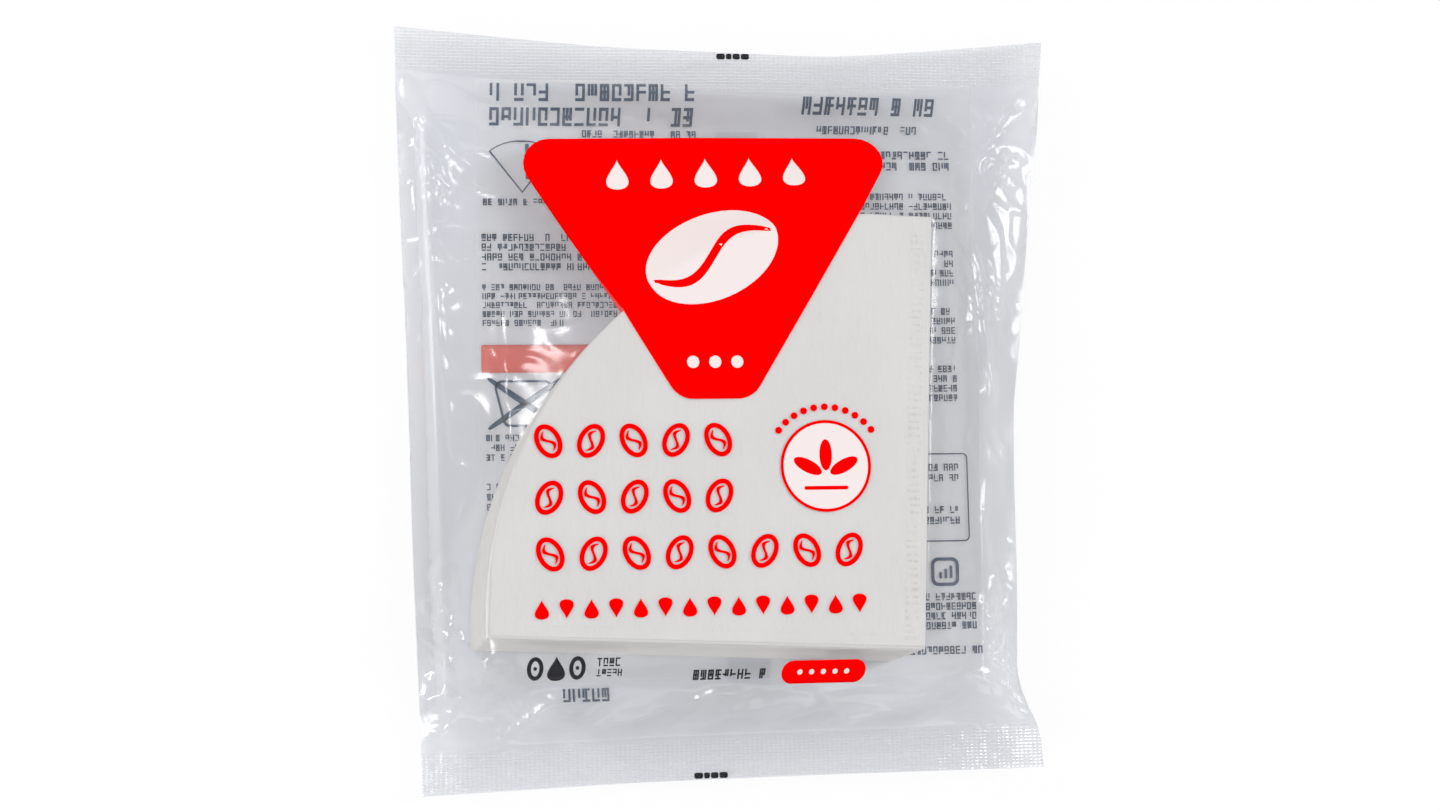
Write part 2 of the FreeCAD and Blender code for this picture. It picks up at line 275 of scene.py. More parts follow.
def thin_ink(name, key, cover):
    """Thinly printed white ink, through which the light still passes."""
    material, output = new_material(name)
    through = add(material, "ShaderNodeBsdfTransparent", color=(1, 1, 1, 1))
    place = add(material, "ShaderNodeTexCoord")
    grain = add(material, "ShaderNodeTexNoise", vector=place.outputs["Object"], scale=1 / (6 * MM))
    bump = add(material, "ShaderNodeBump", height=grain.outputs["Fac"], strength=0.1, distance=0.1 * MM)
    shader = add(material, "ShaderNodeBsdfPrincipled", normal=bump.outputs["Normal"],
                 base_color=colour(key), roughness=0.5, specular_ior_level=0.2)
    mix = add(material, "ShaderNodeMixShader", (cover, through.outputs[0], shader.outputs[0]))
    return finish_material(material, output, mix)


# Meshes

def mesh_piece(name, points, faces, material, smooth=True):
    """Object at the origin with these points and faces, riding on the pack."""
    mesh = bpy.data.meshes.new(name)
    mesh.from_pydata(points.tolist(), [], faces if isinstance(faces, list) else faces.tolist())
    mesh.polygons.foreach_set("use_smooth", [smooth] * len(mesh.polygons))
    mesh.materials.append(material)
    mesh.update()
    piece = bpy.data.objects.new(name, mesh)
    bpy.context.scene.collection.objects.link(piece)
    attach(piece, "root")
    return piece


def point_values(piece, name, values):
    """Give each of the piece's points a value that its material reads by this name."""
    attribute = piece.data.attributes.new(name, "FLOAT", "POINT")
    attribute.data.foreach_set("value", np.ravel(values))


def grid_faces(rows, columns, flip=False):
    """Four-cornered faces of a grid of points stored row by row."""
    low = (np.arange(rows - 1)[:, None] * columns + np.arange(columns - 1)[None, :]).ravel()
    quads = np.stack([low, low + 1, low + columns + 1, low + columns], axis=1)
    return quads[:, ::-1] if flip else quads


def smooth_step(value):
    """Rises from 0 to 1 as the value does, level at both ends: 3 v squared less 2 v cubed."""
    value = np.clip(value, 0, 1)
    return value * value * (3 - 2 * value)


# The film

# Columns lie close together beside the folds, where the creases are
SHARES = np.concatenate([
    np.linspace(0, 0.15, 100, endpoint=False),
    np.linspace(0.15, 0.77, 81, endpoint=False),
    np.linspace(0.77, 1, 101),
# Build the pack and its stage.
])
SEAL_ROWS = 44
BODY_ROWS = 255
STACK_ROOM = 1.2 * MM          # from the stack's outline to the rim of the film's flat front
SHOULDER = 13 * MM             # length of the film's rise behind each seal
FOLD_REACH = 8 * MM            # how far in from the side folds the back film has come down
SEAM_LEFT, SEAM_RIGHT = -2 * MM, 10 * MM
TIGHT = 0.85                   # share of the creases that goes where print stiffens the film
SIGN_LEFT, SIGN_RIGHT, SIGN_FOOT, SIGN_TOP = -64 * MM, 37 * MM, -80 * MM, -66 * MM

# The side folds: place along the pack and across it, in millimetres
LEFT_FOLD = ((-103, -86.8), (103, -92.4))
RIGHT_FOLD = ((-103, 85.4), (-92, 84.6), (-84, 80.3), (-77, 78.1),
              (-59, 78.5), (-25, 79.2), (0, 79.8), (103, 92.4))


def bow_of(x, half, values):
    """Bow of an end at each place across: a smooth curve near the straight lines between its four points."""
    places = np.array([-1.0, -1 / 3, 1 / 3, 1.0])
    share = np.linspace(-1, 1, 401)
    line = np.interp(share, places, np.array(values))
    kernel = np.hanning(101)
    padded = np.pad(line, 50, mode="reflect", reflect_type="odd")
    return np.interp(x / half, share, np.convolve(padded, kernel / kernel.sum(), mode="valid"))


def fold_line(along, points):
    """Place across of a side fold: straight between its points, with corners rounded over 6 mm."""
    places, across = (np.array(points) * MM).T
    return sum(np.interp(along + step * MM, places, across) for step in (-3, -1.5, 0, 1.5, 3)) / 5


def film_plan():
    """Plan of the film as two grids of x and y.

    Across, a column's share runs from 0 at the left fold to 1 at the right one. Along, rows are close
    together in the two seals and even between them. Both ends are bowed.
    """
    size = sizes()
    end = size.end_length
    seal = end - size.seal_band
    low_seal = np.linspace(-end, -seal, SEAL_ROWS, endpoint=False)
    body = np.linspace(-seal, seal, BODY_ROWS, endpoint=False)
    high_seal = np.linspace(seal, end, SEAL_ROWS)
    along = np.concatenate([low_seal, body, high_seal])
    left = fold_line(along, LEFT_FOLD) + 0.15 * MM * np.sin(along / (17 * MM) + 1)
    right = fold_line(along, RIGHT_FOLD) + 0.2 * MM * np.sin(along / (11 * MM))
    x = left[:, None] + (right - left)[:, None] * SHARES[None, :]
    bow = np.where(along[:, None] > 0, bow_of(x, size.top_half, size.top_bow),
                   -bow_of(x, size.top_half - size.bottom_taper, size.bottom_bow))
    y = along[:, None] + bow * smooth_step((np.abs(along) / seal - 0.55) / 0.45)[:, None]
    return x, y, along, seal


def stack_frame():
    """Corner of the front filter and the stack's turned axes."""
    size = sizes()
    side = size.arc_inset + math.sqrt(size.sheet_radius ** 2 - size.arc_inset ** 2)
    across = np.array([math.cos(size.stack_turn), math.sin(size.stack_turn)])
    along = np.array([-across[1], across[0]])
    corner = np.array([SHEET_LOW[0] + side * across[0], SHEET_LOW[1]])
    return corner, across, along, side


def over_stack(x, y, margin):
    """How far inside the stack's outline each point lies, with the outline grown by the margin."""
    corner, across, along, side = stack_frame()
    size = sizes()
    local_x = (x - corner[0]) * across[0] + (y - corner[1]) * across[1]
    local_y = (x - corner[0]) * along[0] + (y - corner[1]) * along[1]
    radius = np.hypot(local_x + size.arc_inset, local_y - size.arc_inset)
    inside = np.minimum(np.minimum(-local_x, local_y), size.sheet_radius - radius)
    return inside + margin


def relaxed(x, y, start, held, floor, rounds):
    """Height of a tight skin: each free point moves to its four neighbours' mean, never under the floor.

    The step weighs neighbours across and along by the inverse square of their distance, so that the skin
    is as tight in both directions on an uneven grid.
    """
    height = start.copy()
    across = 1 / np.maximum(np.gradient(x, axis=1), 1e-6)[1:-1, 1:-1] ** 2
    along = 1 / np.maximum(np.gradient(y, axis=0), 1e-6)[1:-1, 1:-1] ** 2
    total = 2 * (across + along)
    middle = (slice(1, -1), slice(1, -1))
    for _ in range(rounds):
        mean = (across * (height[1:-1, :-2] + height[1:-1, 2:])
                + along * (height[:-2, 1:-1] + height[2:, 1:-1])) / total
        height[middle] = np.maximum(mean, floor[middle])
        height[held] = start[held]
    return height


def sections(seal):
    """Sections of the front film from the bottom seal to the top one.

    Each row holds the row's place along the pack, then the left fold, the left and the right rim of the
    flat front and the right fold, and then the heights of the front and of the folds. Between the lower
    rim and the upper end of the arc the left rim follows the filter's arc.
    """
    size = sizes()
    corner, across, along, side = stack_frame()
    centre = corner - size.arc_inset * across + size.arc_inset * along
    reach = size.sheet_radius + STACK_ROOM
    edge = corner[1] - STACK_ROOM
    far = centre[1] + reach
    top = SHEET_HIGH[2] + size.film_gap
    drop = top - size.seal_height

    def right_rim(y):
        return corner[0] + STACK_ROOM + side * along[0] * (y - corner[1]) / (side * along[1])

    def body(y, left, right, height):
        return y, fold_line(y, LEFT_FOLD), left, right, fold_line(y, RIGHT_FOLD), height, size.fold_height

    low_half = size.top_half - size.bottom_taper
    rows = [(-seal, -low_half, -low_half / 3, low_half / 3, low_half, size.seal_height, size.seal_height)]
    foot = size.seal_height + drop * (1 - size.sag) * SHOULDER / (edge + seal)
    rows.append(body(-seal + SHOULDER, centre[0] - reach, right_rim(edge), foot))
    rows.append(body(edge, centre[0] - reach, right_rim(edge), top))
    for turn in np.radians(np.linspace(0, 90, 19)):
        y = centre[1] + reach * math.sin(turn)
        rows.append(body(y, centre[0] - reach * math.cos(turn), right_rim(y) + STACK_ROOM, top))
    head = size.seal_height + drop * (1 - size.sag) * SHOULDER / (seal - far)
    rows.append(body(seal - SHOULDER, -size.top_half / 3, size.top_half / 2, head))
    high = size.top_half
    rows.append((seal, -high, -high / 3, high / 3, high, size.seal_height, size.seal_height))
    return np.array(rows)


def skin_height(x, y, along, seal):
    """Height of the front film over the stack, held at the folds and the seals.

    The film runs straight from the flat front to the folds and hangs a little under that line in its
    middle. Its bends are then rounded: each free point moves to the mean of its neighbours sixty times.
    """
    size = sizes()
    table = sections(seal)
    shoulder = np.clip((np.abs(y) - (seal - SHOULDER)) / np.maximum(
        np.abs(y) - (seal - SHOULDER) + (seal - np.abs(along))[:, None], 1e-6), 0, 1)
    level = np.where(np.abs(y) > seal - SHOULDER,
                     np.sign(y) * (seal - SHOULDER + SHOULDER * shoulder), y)
    left, rim_left, rim_right, right, front, fold = (
        np.interp(level, table[:, 0], table[:, at]) for at in range(1, 7))
    share = np.clip(np.minimum((x - left) / (rim_left - left), (right - x) / (right - rim_right)), 0, 1)
    height = fold + (front - fold) * (share - size.sag * 4 * share * (1 - share))
    in_seal = np.abs(along) >= seal - 1e-9
    height[in_seal] = size.seal_height
    top = SHEET_HIGH[2] + size.film_gap
    floor = np.where(over_stack(x, y, 0.8 * MM) > 0, top, 0.0)
    start = height.copy()
    held = np.zeros_like(x, dtype=bool)
    held[:, 0] = held[:, -1] = True
    held[in_seal, :] = True
    return relaxed(x, y, start, held, floor, 60)


# Creases of the front film: points along each, how high it stands and how wide it is, in millimetres
CREASES = (
    (((-91, 95), (-88, 86), (-84, 78), (-76, 69), (-70, 63)), 2.0, 1.5),
    (((-88, 90), (-87, 74), (-85, 60)), 0.7, 1.0),
    (((-87, 80), (-86, 66), (-84, 50), (-82, 34), (-81, 18), (-79, 2), (-78, -12), (-75, -27)), 2.0, 1.3),
    (((-84, 70), (-80, 62), (-77, 58)), 0.8, 1.0),
    (((-83, 46), (-79, 38), (-78, 30)), 0.8, 1.1),
    (((-88, -52), (-84, -58), (-80, -62)), 0.8, 1.1),
    (((-86, -50), (-80, -44), (-74, -42), (-70, -46)), 0.9, 1.6),
    (((-86, -66), (-80, -72), (-74, -74), (-68, -71)), 1.1, 1.1),
    (((-84, -60), (-77, -64), (-71, -70), (-68, -78)), 1.2, 1.0),
    (((-80, -76), (-75, -73), (-70, -76), (-64, -74)), 1.0, 0.9),
    (((-86, -80), (-80, -78), (-73, -82)), 0.9, 1.1),
    (((-84, -92), (-78, -84), (-70, -80), (-62, -82)), 0.9, 1.3),
    (((-62, -88), (-54, -82), (-45, -81), (-36, -77)), 1.2, 1.6),
    (((-54, -78), (-50, -84), (-44, -86), (-38, -82), (-33, -77)), 1.1, 1.4),
    (((-38, -90), (-28, -86), (-14, -82), (-4, -77)), 1.2, 1.2),
    (((-30, -84), (-20, -88), (-8, -90)), 0.8, 1.6),
    (((-22, -90), (-10, -80), (2, -78), (10, -80)), 0.9, 1.8),
    (((2, -84), (8, -79), (18, -80), (22, -86)), 0.9, 1.6),
    (((6, -90), (16, -86), (28, -83), (44, -85)), 1.0, 1.5),
    (((42, -90), (52, -82), (60, -76)), 1.1, 1.5),
    (((84, 88), (76, 78), (69, 66), (66, 56), (64, 44)), 1.4, 1.2),
    (((88, 92), (80, 82), (73, 72), (69, 66)), 0.9, 0.9),
    (((82, 74), (76, 62), (70, 54), (64, 50)), 1.1, 1.0),
    (((67, 60), (62, 47), (59, 44)), 0.7, 1.0),
    (((66, 46), (68, 40), (69, 30), (70, 18), (72, 6), (72, -8)), 1.9, 1.2),
    (((62, 40), (66, 30), (66, 18), (68, 6)), 0.8, 1.3),
    (((76, 52), (76, 34), (75, 16)), 0.6, 1.2),
    (((70, -20), (68, -36), (70, -50)), 0.8, 1.2),
    (((60, -62), (68, -68), (75, -72), (82, -80)), 1.1, 1.2),
    (((71, -44), (72, -54), (70, -60), (74, -66), (71, -72), (76, -77), (75, -82), (81, -90)), 1.8, 1.0),
    (((66, -52), (70, -62), (76, -72), (78, -82)), 1.0, 0.9),
    (((56, -70), (64, -76), (74, -80), (82, -88)), 1.0, 1.2),
    (((-66, -92), (-58, -86), (-50, -80), (-44, -76)), 2.0, 2.6),
    (((-50, -93), (-38, -88), (-22, -83), (-8, -80)), 2.2, 2.4),
    (((-20, -93), (-4, -86), (14, -83), (30, -84)), 1.8, 2.6),
    (((20, -92), (38, -87), (56, -83), (68, -76)), 2.0, 2.4),
    (((-58, 88), (-50, 78), (-44, 70)), 0.4, 2.4),
    (((-30, 90), (-24, 80)), 0.4, 2.4),
    (((34, 84), (40, 74), (44, 66)), 0.5, 2.2),
    (((58, 88), (56, 78), (60, 68)), 0.6, 1.6),
)


# Crumpled places: middle, reach, seed and height
CRUMPLES = (
    ((-79, -62), 11, 61, 1.3),
    ((-72, -78), 9, 62, 1.0),
    ((-84, -50), 7, 63, 0.9),
    ((75, -66), 9, 64, 1.4),
    ((79, -80), 8, 65, 1.2),
    ((72, 66), 11, 66, 1.0),
    ((-84, 62), 8, 67, 0.8),
    ((70, 30), 8, 68, 0.7),
)


def ridge(x, y, points, height, width):
    """Crease along a line of points.

    At each grid point the crease stands up by its height / (1 + (distance / width) squared), and it fades
    out towards both ends of the line. A slow ripple bends the line and makes its height uneven.
    """
    best = np.full_like(x, 1e9)
    share = np.zeros_like(x)
    line = np.array(points) * MM
    lengths = np.hypot(*(line[1:] - line[:-1]).T)
    reached = np.concatenate([[0], np.cumsum(lengths)]) / lengths.sum()
    for start, end, low, high in zip(line[:-1], line[1:], reached[:-1], reached[1:]):
        run = end - start
        at = np.clip(((x - start[0]) * run[0] + (y - start[1]) * run[1]) / (run @ run), 0, 1)
        away = np.hypot(x - start[0] - at * run[0], y - start[1] - at * run[1])
        nearer = away < best
        best = np.where(nearer, away, best)
        share = np.where(nearer, low + (high - low) * at, share)
    best = np.abs(best + 0.15 * MM * waves(x, y, 41, 9 * MM))
    fade = smooth_step(share / 0.25) * smooth_step((1 - share) / 0.25) * (1 + 0.2 * waves(x, y, 43, 14 * MM))
    return height * MM * fade / (1 + (best / (width * MM)) ** 2)


def waves(x, y, seed, length, count=24):
    """Uneven ripple from many sines of about the same wavelength in seeded directions, between -1 and 1."""
    draw = np.random.default_rng(seed)
    total = np.zeros_like(x)
    for _ in range(count):
        angle = draw.uniform(0, math.pi)
        number = 2 * math.pi / (length * draw.uniform(0.6, 1.6))
        total += np.sin((x * math.cos(angle) + y * math.sin(angle)) * number + draw.uniform(0, 2 * math.pi))
    return total / math.sqrt(count)


def over_field(x, y):
    """How far inside the large printed field each point lies, where the film is stretched smooth."""
    slope = (WEDGE_TOP_HALF - WEDGE_FOOT_HALF) / (WEDGE_TOP - WEDGE_FOOT)
    half = WEDGE_FOOT_HALF + slope * (y - WEDGE_FOOT) + 4 * MM
    return np.minimum(np.minimum(half - np.abs(x - WEDGE_X), WEDGE_TOP + 4 * MM - y), y - WEDGE_FOOT)


def crumple(x, y, middle, reach, seed):
    """Small sharp crumples around a point: the size of a fine ripple, folded at zero, fading out from it."""
    near = np.exp(-((x - middle[0] * MM) ** 2 + (y - middle[1] * MM) ** 2) / (reach * MM) ** 2)
    return near * (1 - np.clip(np.abs(waves(x, y, seed, 9 * MM)) * 1.4, 0, 1))


def front_height(x, y, along, seal):
    """Front film: a tight skin with creases where it is slack, and how much fine crinkle it has.

    The film is tight over the stack, in the large red field and in the row of signs below the stack.
    """
    height = skin_height(x, y, along, seal)
    slack = smooth_step(-over_stack(x, y, 0) / (10 * MM))
    slack = slack * (1 - TIGHT * smooth_step(over_field(x, y) / (6 * MM)))
    row = np.minimum(np.minimum(x - SIGN_LEFT, SIGN_RIGHT - x), np.minimum(y - SIGN_FOOT, SIGN_TOP - y))
    slack = slack * (1 - TIGHT * smooth_step(row / (3 * MM)))
    edge = smooth_step(np.minimum(x - x[:, :1], x[:, -1:] - x) / (3.5 * MM))
    shore = smooth_step((seal - np.abs(along)) / (5 * MM))[:, None]
    for points, tall, wide in CREASES:
        height += ridge(x, y, points, tall, wide) * slack * edge * (0.4 + 0.6 * shore)
    below = smooth_step((-y - 66 * MM) / (10 * MM))
    height += (0.3 + 0.5 * below) * MM * waves(x, y, 3, 26 * MM) * slack * edge * shore
    for middle, reach, seed, tall in CRUMPLES:
        height += tall * MM * crumple(x, y, middle, reach, seed) * slack * edge * shore
    folds = np.abs(waves(x, y, 8, 16 * MM))
    height += 0.35 * MM * (1 - np.clip(folds, 0, 1)) ** 3 * slack * edge * shore
    height += seal_relief(x, along, seal)
    return height, 0.12 + 0.6 * slack * edge * smooth_step((-y - 25 * MM) / (35 * MM))


def seal_relief(x, along, seal):
    """Slow wave in the line of each welded end: a sine across the pack that fades out below the seal."""
    bow = 0.8 * MM * np.sin(x / (21 * MM) + np.sign(along)[:, None])
    return smooth_step((np.abs(along) - (seal - 10 * MM)) / (10 * MM))[:, None] * bow


def back_height(x, y, along, seal, front):
    """Back film: flat on the table, rising to the folds and the seals, and joined to the front at its rim."""
    low = LAST_LOW[2] - 0.15 * MM
    inward = np.minimum(x - x[:, :1], x[:, -1:] - x)
    side = np.clip(1 - inward / FOLD_REACH, 0, 1)
    reach = np.abs(y) - (seal - SHOULDER)
    rise = np.clip(reach / np.maximum(reach + (seal - np.abs(along))[:, None], 1e-6), 0, 1)
    rise = np.where(np.abs(along)[:, None] >= seal, 1.0, rise)
    rise = 0.3 * rise + 0.7 * smooth_step(rise)
    edge = np.minimum(front[:, :1], front[:, -1:])
    flat = low + (edge - low) * side ** 1.6
    weld = sizes().seal_height + seal_relief(x, along, seal) - 0.12 * MM
    height = flat * (1 - rise) + weld * rise
    rumple = 0.35 * MM * np.clip(waves(x, y, 21, 26 * MM), 0, 1)
    height += rumple * smooth_step(side * 2) * smooth_step((1 - rise) * 2)
    height = np.minimum(height, front - 0.05 * MM)
    height[:, 0] = front[:, 0]
    height[:, -1] = front[:, -1]
    height[0] = front[0]
    height[-1] = front[-1]
    return height


FILM = {}


def film_fields():
    """Grids of the film, worked out once."""
    if not FILM:
        x, y, along, seal = film_plan()
        front, crinkle = front_height(x, y, along, seal)
        back = back_height(x, y, along, seal, front)
        FILM.update(x=x, y=y, along=along, front=front, back=back, crinkle=crinkle)
    return FILM


def film_level(px, py, side="front"):
    """Height of the film at any points, by straight interpolation in its grid.

    The row comes from y and the column from x between the two folds of that row. Three passes correct the
    row for the bow of the ends.
    """
    film = film_fields()
    x, y, field = film["x"], film["y"], film[side]
    rows, columns = x.shape
    middle = y[:, columns // 2]
    row = np.interp(py, middle, np.arange(rows))
    column = np.zeros_like(px)
    for _ in range(3):
        low = np.clip(row.astype(int), 0, rows - 2)
        part = row - low
        left = x[low, 0] * (1 - part) + x[low + 1, 0] * part
        right = x[low, -1] * (1 - part) + x[low + 1, -1] * part
        column = np.interp((px - left) / (right - left), SHARES, np.arange(columns))
        near = np.clip(column.round().astype(int), 0, columns - 1)
        here = y[low, near] * (1 - part) + y[low + 1, near] * part
        pitch = np.maximum(y[low + 1, near] - y[low, near], 1e-6)
        row = np.clip(row + (py - here) / pitch * 0.8, 0, rows - 1.001)
    low = np.clip(row.astype(int), 0, rows - 2)
    near = np.clip(column.astype(int), 0, columns - 2)
    up, right = row - low, column - near
    return (field[low, near] * (1 - up) * (1 - right) + field[low, near + 1] * (1 - up) * right
            + field[low + 1, near] * up * (1 - right) + field[low + 1, near + 1] * up * right)


def film_haze(x, y, side):
    """Share of light that the film scatters, in slow clouds."""
    return 0.10 + 0.04 * np.clip(0.5 + 0.5 * waves(x, y, 31 + side, 34 * MM), 0, 1)


class PACK_OT_film(bpy.types.Operator):
    """Clear film bag: front and back sheet on one plan, and the seam folded flat on the back"""
    bl_idname = "pack.film"
    bl_label = "Film bag"

    def execute(self, context):
        film = film_fields()
        rows, columns = film["x"].shape
        material = clear_film()
        seal = sizes().end_length - sizes().seal_band
        for place, (side, name) in enumerate((("front", "film_front"), ("back", "film_back"))):
            points = np.stack([film["x"], film["y"], film[side]], axis=2).reshape(-1, 3)
            faces = grid_faces(rows, columns, flip=(side == "back"))
            piece = mesh_piece(name, points, faces, material)
            point_values(piece, "haze", film_haze(film["x"], film["y"], place))
            point_values(piece, "crinkle", film["crinkle"])
            band = smooth_step((np.abs(film["along"]) - seal) / (1.6 * MM))
            point_values(piece, "weld", np.repeat(band, columns))
            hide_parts("clear_bag")
        flat = seal - SHOULDER
        across = np.linspace(SEAM_LEFT, SEAM_RIGHT, 7)
        along = np.linspace(-flat, flat, 60)
        grid_x, grid_y = np.meshgrid(across, along)
        low = np.full_like(grid_x, 0.03 * MM) + 0.05 * MM * np.clip(waves(grid_x, grid_y, 5, 20 * MM), 0, 1)
        points = np.stack([grid_x, grid_y, low], axis=2).reshape(-1, 3)
        seam = mesh_piece("film_back_seam", points, grid_faces(*grid_x.shape, flip=True), material)
        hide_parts("clear_bag")
        return {"FINISHED"}


# The filters

SHEET_COLUMNS = 250
SHEET_ROWS = 280
CRIMP_COLUMNS = 40
CRIMP_REACH = 8 * MM
NEAR_RAIL, FAR_RAIL, RAIL_WIDTH = 1.6 * MM, 6.0 * MM, 0.28 * MM
RUNG_WIDTH = 0.36 * MM
DASH_LINE, DASH_PITCH, DASH_WIDTH = 3.0 * MM, 1.3 * MM, 0.26 * MM


def crimp_relief(across, along, side):
    """Embossed crimps, as heights over the sheet.

    The side crimp has two rails with rungs between them, and the bottom crimp is one row of dashes. Both
    are round-topped: a rung is exp(-(distance / width) squared).
    """
    size = sizes()
    pitch = size.ladder_pitch
    rail = sum(np.exp(-((across + place) / RAIL_WIDTH) ** 2) for place in (NEAR_RAIL, FAR_RAIL))
    phase = (along / pitch) % 1 - 0.5
    between = smooth_step((across + 6.3 * MM) / (0.3 * MM)) * smooth_step((-across - 1.3 * MM) / (0.3 * MM))
    rungs = np.exp(-(phase * pitch / RUNG_WIDTH) ** 2) * between
    ladder = 0.24 * MM * rungs + 0.14 * MM * rail - 0.08 * MM * between
    dash = (across / DASH_PITCH) % 1 - 0.5
    dots = np.exp(-((along - DASH_LINE) / DASH_WIDTH) ** 2) * smooth_step(0.7 - np.abs(dash) * 1.4)
    ends = smooth_step((along - 1.0 * MM) / MM) * smooth_step((side - 3 * MM - along) / (2 * MM))
    return ladder * ends - 0.14 * MM * dots


class PACK_OT_front_filter(bpy.types.Operator):
    """Front filter: a creped sheet with its two crimped edges"""
    bl_idname = "pack.front_filter"
    bl_label = "Front filter"

    def execute(self, context):
        size = sizes()
        corner, across_axis, along_axis, side = stack_frame()
        # Columns run from the left end to the crimped edge, closer together in the crimp
        body = np.linspace(-side, -CRIMP_REACH, SHEET_COLUMNS - CRIMP_COLUMNS, endpoint=False)
        crimp = np.linspace(-CRIMP_REACH, 0, CRIMP_COLUMNS)
        across = np.concatenate([body, crimp])
        rise = np.sqrt(np.maximum(size.sheet_radius ** 2 - (across + size.arc_inset) ** 2, 0))
        rim = np.minimum(size.arc_inset + rise, side)
        share = np.linspace(0, 1, SHEET_ROWS)
        share = np.sort(np.concatenate([share, np.linspace(0.01, 0.045, 16)]))
        rows = len(share)
        grid_across = np.repeat(across[None, :], rows, axis=0)
        grid_along = share[:, None] * rim[None, :]
        crimp = crimp_relief(grid_across, grid_along, side)
        lift = crimp + 0.05 * MM * waves(grid_across, grid_along, 11, 30 * MM)
        height = SHEET_HIGH[2] - 0.06 * MM + np.clip(lift, -0.2 * MM, 0.16 * MM)
        x = corner[0] + grid_across * across_axis[0] + grid_along * along_axis[0]
        y = corner[1] + grid_across * across_axis[1] + grid_along * along_axis[1]
        points = np.stack([x, y, height], axis=2).reshape(-1, 3)
        faces = grid_faces(rows, SHEET_COLUMNS).tolist()
        rim_walk = closed_rim(rows, SHEET_COLUMNS)
        under = points[rim_walk].copy()
        under[:, 2] = SHEET_LOW[2]
        first = len(points)
        count = len(rim_walk)
        for at in range(count):
            after = (at + 1) % count
            faces.append([int(rim_walk[after]), int(rim_walk[at]), first + at, first + after])
        faces.append([first + at for at in range(count)][::-1])
        paper = filter_paper("creped_filter_paper", size.stack_turn, 0.35 * MM)
        piece = mesh_piece("front_filter_sheet", np.concatenate([points, under]), faces, paper)
        # Pressed recesses of the crimps, drawn darker by the paper: painted shade, together with the paper's
        # own greyer tone there.
        pressed = smooth_step((-crimp - 0.005 * MM) / (0.06 * MM)).ravel()
        point_values(piece, "press_and_shade", np.concatenate([pressed, np.zeros(count)]))
        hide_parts("front_filter")
        return {"FINISHED"}


def closed_rim(rows, columns):
    """Indices of a grid's outer points, once round."""
    grid = np.arange(rows * columns).reshape(rows, columns)
    return np.concatenate([grid[0, :-1], grid[:-1, -1], grid[-1, :0:-1], grid[:0:-1, 0]])


class PACK_OT_stack(bpy.types.Operator):
    """Paper finish for the filters behind the front one"""
    bl_idname = "pack.stack"
    bl_label = "Stack of filters"

    def execute(self, context):
        paper = filter_paper("stacked_filter_paper", sizes().stack_turn, 0.12 * MM)
        for node in BUNDLES + ["back_filter"]:
            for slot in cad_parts[node].material_slots:
                slot.material = paper
        return {"FINISHED"}


# The print

def placed(x, y, across, along, turn):
    """Points given across and along a shape, turned and moved to its place."""
    cosine, sine = math.cos(turn), math.sin(turn)
    return np.stack([x + across * cosine - along * sine, y + across * sine + along * cosine], axis=1)


def dot(x, y, width, count=14):
    """Small round dot."""
    return ellipse(x, y, width, width, 0, count)


def ellipse(x, y, width, height, turn=0.0, count=40):
    """Points round an oval: half its width times cos and half its height times sin, then turned."""
    angle = np.linspace(0, 2 * math.pi, count, endpoint=False)
    return placed(x, y, width / 2 * np.cos(angle), height / 2 * np.sin(angle), turn)


def rounded_box(x0, y0, x1, y1, radius, count=8):
    """Points round a box whose corners are quarter circles."""
    corners = ((x1 - radius, y1 - radius, 0), (x0 + radius, y1 - radius, 1),
               (x0 + radius, y0 + radius, 2), (x1 - radius, y0 + radius, 3))
    runs = []
    for x, y, quarter in corners:
        angle = math.pi / 2 * (quarter + np.linspace(0, 1, count))
        runs.append(np.stack([x + radius * np.cos(angle), y + radius * np.sin(angle)], axis=1))
    return np.concatenate(runs)


def bean_slit(x, y, length, width, turn, thick):
    """Band along a bean's middle: a sine bow with a width that narrows to its ends."""
    at = np.linspace(-1, 1, 25)
    bow = 0.16 * width * np.sin(at * math.pi)
    half = thick / 2 * (0.35 + 0.65 * np.sqrt(1 - at ** 2))
    upper = np.stack([at * length / 2, bow + half], axis=1)
    lower = np.stack([at * length / 2, bow - half], axis=1)[::-1]
    band = np.concatenate([upper, lower])
    return placed(x, y, band[:, 0], band[:, 1], turn)


def drop(x, y, height, turn=0.0, count=28):
    """Drop, round below and pointed on top: sin(angle) sin(angle / 2) squared across, cos(angle) along."""
    angle = np.linspace(0, 2 * math.pi, count, endpoint=False)
    across = 0.558 * height * np.sin(angle) * np.sin(angle / 2) ** 2
    return placed(x, y, across, height / 2 * np.cos(angle), turn)


def rounded_polygon(corners, radius, count=8):
    """Points round a polygon whose corners are replaced by arcs that touch both sides."""
    corners = np.array(corners)
    runs = []
    for before, here, after in zip(np.roll(corners, 1, axis=0), corners, np.roll(corners, -1, axis=0)):
        one = (before - here) / np.hypot(*(before - here))
        two = (after - here) / np.hypot(*(after - here))
        half = math.acos(float(one @ two)) / 2
        middle = (one + two) / np.hypot(*(one + two))
        centre = here + middle * radius / math.sin(half)
        start = here + one * radius / math.tan(half) - centre
        end = here + two * radius / math.tan(half) - centre
        first = math.atan2(start[1], start[0])
        turn = math.atan2(start[0] * end[1] - start[1] * end[0], start @ end)
        angle = first + turn * np.linspace(0, 1, count)
        runs.append(centre + radius * np.stack([np.cos(angle), np.sin(angle)], axis=1))
    return np.concatenate(runs)


